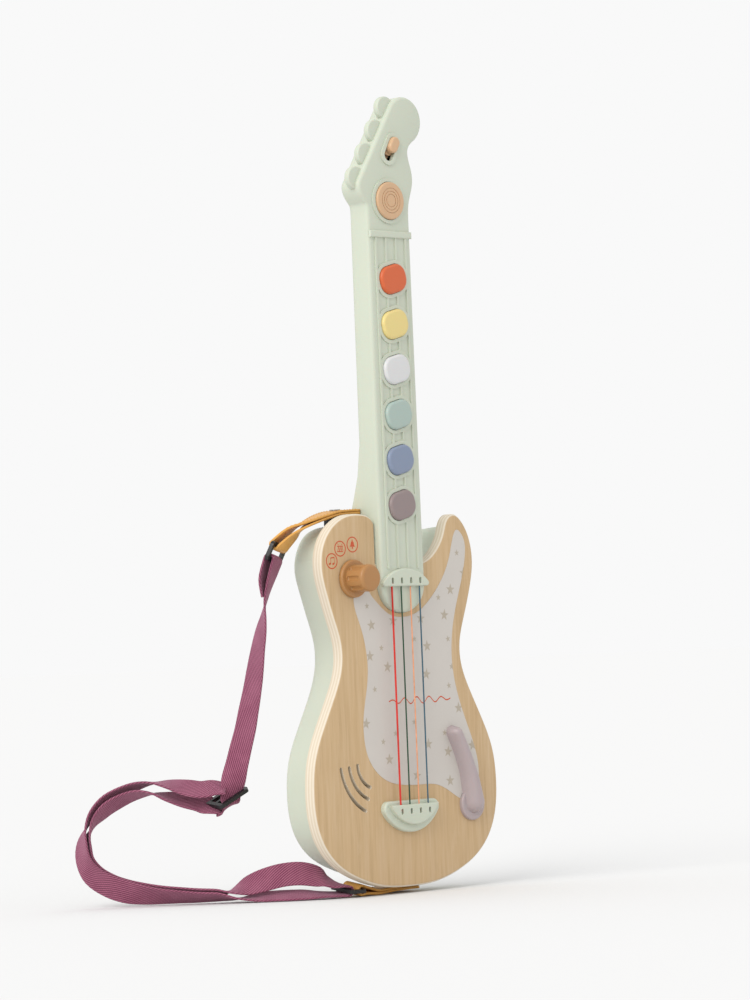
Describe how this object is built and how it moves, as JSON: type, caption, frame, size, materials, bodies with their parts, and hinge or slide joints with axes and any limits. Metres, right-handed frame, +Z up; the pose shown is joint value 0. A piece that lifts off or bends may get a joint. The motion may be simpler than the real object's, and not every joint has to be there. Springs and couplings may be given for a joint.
{
  "type": "toy electric guitar",
  "caption": "Toy electric guitar with a plywood front, moulded body and neck, press buttons, selector knob, whammy lever, strings and a webbing shoulder strap.",
  "frame": {"origin": "on the surface the guitar stands on, below the lowest point of the front board, on the neck's centre line, in the plane of the board's back face", "axes": "+Z up along the neck, -Y towards the player's front (strings side), +X to the right seen from the front"},
  "size_m": [0.3094, 0.1882, 0.6259],
  "materials": {
    "plywood": "clear satin lacquer",
    "pickguard": "printed film, satin",
    "mint_plastic": "fine moulded texture",
    "button_orange": "satin",
    "button_yellow": "satin",
    "button_white": "satin",
    "button_mint": "satin",
    "button_blue": "satin",
    "button_mauve": "satin",
    "peach_plastic": "satin",
    "camel_plastic": "satin",
    "mauve_plastic": "satin",
    "string_red": "extruded cord",
    "string_green": "extruded cord",
    "string_peach": "extruded cord",
    "string_blue": "extruded cord",
    "leather": "tan, vegetable tanned",
    "webbing": "woven, 19 mm wide",
    "black_plastic": "moulded, fine grain",
    "silicone": "matt",
    "circuit_board": "solder mask",
    "speaker_metal": "satin",
    "foam": "foam",
    "steel": "zinc plated",
    "cell_wrap": "plain sleeve",
    "spring_steel": "plain"
  },
  "bodies": {
    "guitar": {"back_shell": "mint_plastic", "battery_cells": "cell_wrap", "battery_contacts": "spring_steel", "battery_tray": "black_plastic", "bridge_base": "mint_plastic", "bridge_cap": "mint_plastic", "front_board": "plywood", "head_board": "circuit_board", "key_board": "circuit_board", "key_mat": "silicone", "lever_base": "mauve_plastic", "lever_spring": "spring_steel", "lower_ring": "black_plastic", "lower_tab": "leather", "main_board": "circuit_board", "neck_back": "mint_plastic", "neck_front": "mint_plastic", "neck_screws": "steel", "nut_bar": "mint_plastic", "pickguard_film": "pickguard", "saddle": "mint_plastic", "selector_switch": "black_plastic", "shell_screws": "steel", "speaker": "speaker_metal", "speaker_gasket": "foam", "strap_lug_lower": "black_plastic", "strap_lug_upper": "black_plastic", "string_1": "string_red", "string_2": "string_green", "string_3": "string_peach", "string_4": "string_blue", "switch_body": "peach_plastic", "tab_rivets": "steel", "tri_glide": "black_plastic", "tuning_peg_1": "mint_plastic", "tuning_peg_2": "mint_plastic", "tuning_peg_3": "mint_plastic", "tuning_peg_4": "mint_plastic", "upper_ring": "black_plastic", "upper_tab": "leather", "webbing_lower": "webbing", "webbing_upper": "webbing"},
    "fret_key_1": {"fret_button_1": "button_orange"},
    "fret_key_2": {"fret_button_2": "button_yellow"},
    "fret_key_3": {"fret_button_3": "button_white"},
    "fret_key_4": {"fret_button_4": "button_mint"},
    "fret_key_5": {"fret_button_5": "button_blue"},
    "fret_key_6": {"fret_button_6": "button_mauve"},
    "start_key": {"round_button": "peach_plastic"},
    "switch": {"switch_slider": "peach_plastic"},
    "knob": {"selector_knob": "camel_plastic"},
    "lever": {"whammy_lever": "mauve_plastic", "lever_screw": "steel"},
    "door": {"battery_door": "mint_plastic", "battery_door_screw": "steel"}
  },
  "joints": [
    {"name": "fret_key_1_press", "type": "slide", "parent": "guitar", "child": "fret_key_1", "axis": [0, 1, 0], "range_m": [0, 0.002], "stiffness_N_per_m": 400, "springref_m": -0.001},
    {"name": "fret_key_2_press", "type": "slide", "parent": "guitar", "child": "fret_key_2", "axis": [0, 1, 0], "range_m": [0, 0.002], "stiffness_N_per_m": 400, "springref_m": -0.001},
    {"name": "fret_key_3_press", "type": "slide", "parent": "guitar", "child": "fret_key_3", "axis": [0, 1, 0], "range_m": [0, 0.002], "stiffness_N_per_m": 400, "springref_m": -0.001},
    {"name": "fret_key_4_press", "type": "slide", "parent": "guitar", "child": "fret_key_4", "axis": [0, 1, 0], "range_m": [0, 0.002], "stiffness_N_per_m": 400, "springref_m": -0.001},
    {"name": "fret_key_5_press", "type": "slide", "parent": "guitar", "child": "fret_key_5", "axis": [0, 1, 0], "range_m": [0, 0.002], "stiffness_N_per_m": 400, "springref_m": -0.001},
    {"name": "fret_key_6_press", "type": "slide", "parent": "guitar", "child": "fret_key_6", "axis": [0, 1, 0], "range_m": [0, 0.002], "stiffness_N_per_m": 400, "springref_m": -0.001},
    {"name": "start_key_press", "type": "slide", "parent": "guitar", "child": "start_key", "axis": [0, 1, 0], "range_m": [0, 0.002], "stiffness_N_per_m": 400, "springref_m": -0.001},
    {"name": "switch_slide", "type": "slide", "parent": "guitar", "child": "switch", "axis": [-0.5, 0, -0.866], "range_m": [0, 0.007]},
    {"name": "knob_turn", "type": "hinge", "parent": "guitar", "child": "knob", "pos_m": [-0.0515, -0.02, 0.2465], "axis": [0, 1, 0], "range_deg": [-45, 45]},
    {"name": "lever_swing", "type": "hinge", "parent": "guitar", "child": "lever", "pos_m": [0.071, -0.012, 0.0655], "axis": [0, 1, 0], "range_deg": [-12, 12], "stiffness_Nm_per_rad": 0.3},
    {"name": "door_lift", "type": "slide", "parent": "guitar", "child": "door", "axis": [0, 1, 0], "range_m": [0, 0.03]}
  ]
}
